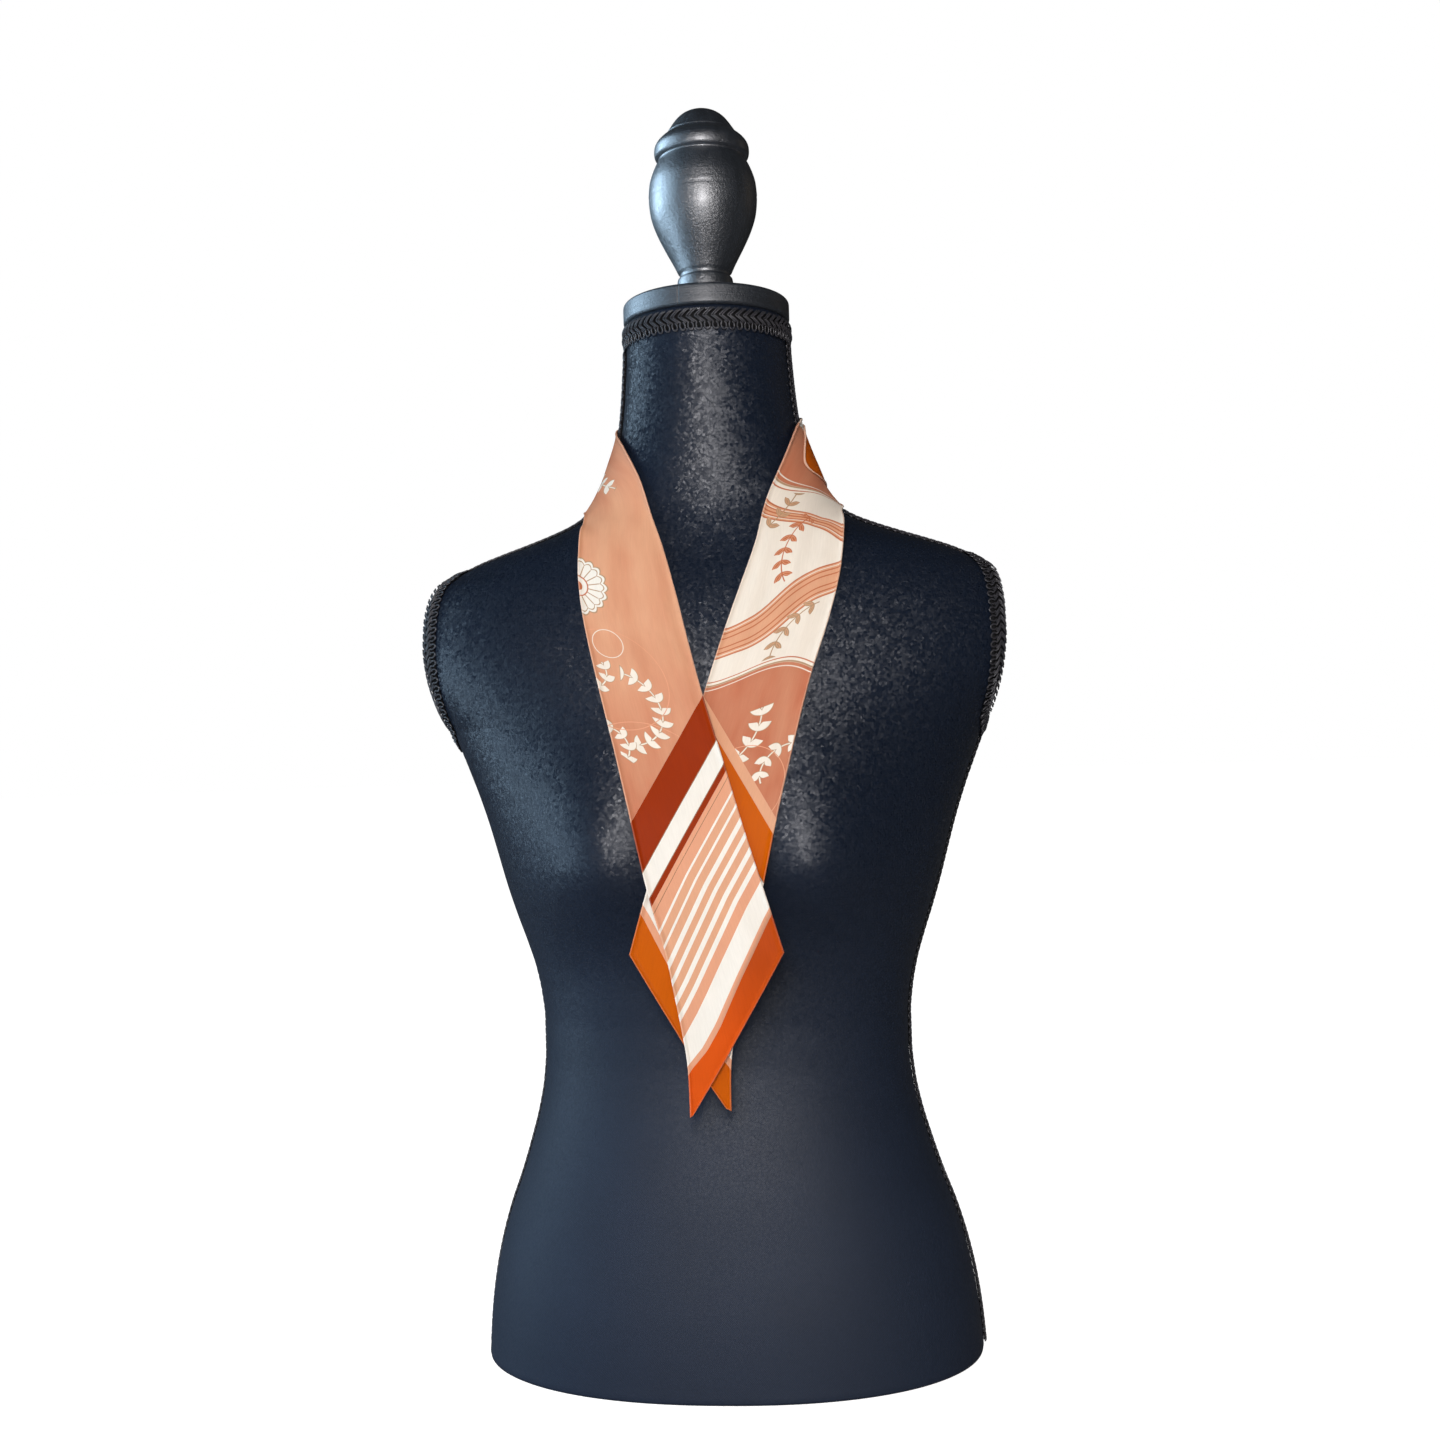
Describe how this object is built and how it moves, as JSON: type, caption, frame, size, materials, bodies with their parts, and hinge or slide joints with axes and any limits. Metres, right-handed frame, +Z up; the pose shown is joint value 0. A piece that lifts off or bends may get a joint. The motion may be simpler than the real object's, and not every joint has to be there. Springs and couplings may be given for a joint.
{
  "type": "hair scarf on dress form",
  "caption": "Narrow silk hair scarf with slanted ends, laid round the neck of a limbless jersey-covered dress form and crossed on the chest.",
  "frame": {"origin": "middle of the dress form's flat base, below the axis of its neck", "axes": "+Z up along the neck; the chest faces -Y; +X is the viewer's right seen from the front"},
  "size_m": [0.343, 0.2208, 0.7473],
  "materials": {
    "jersey_navy": "matte fine-knit jersey, navy-black, with a faint sheen",
    "satin_black_paint": "turned wood painted satin black, fine grain showing",
    "gimp_braid_black": "black rayon gimp braid of looped and slanted cords",
    "silk_print": "printed silk twill, peach with white, rust and orange bands, soft sheen",
    "silk_amber": "silk twill, amber wrong side, soft sheen"
  },
  "bodies": {
    "root": {"form_body": "jersey_navy", "neck_cap": "satin_black_paint", "finial": "satin_black_paint", "neck_braid": "gimp_braid_black", "shoulder_braid_left": "gimp_braid_black", "shoulder_braid_right": "gimp_braid_black", "armhole_braid_left": "gimp_braid_black", "armhole_braid_right": "gimp_braid_black", "side_braid_left": "gimp_braid_black", "side_braid_right": "gimp_braid_black", "scarf_over": "silk_print", "scarf_back": "silk_print", "scarf_under": "silk_print", "scarf_turned_edge": "silk_amber"}
  },
  "joints": []
}
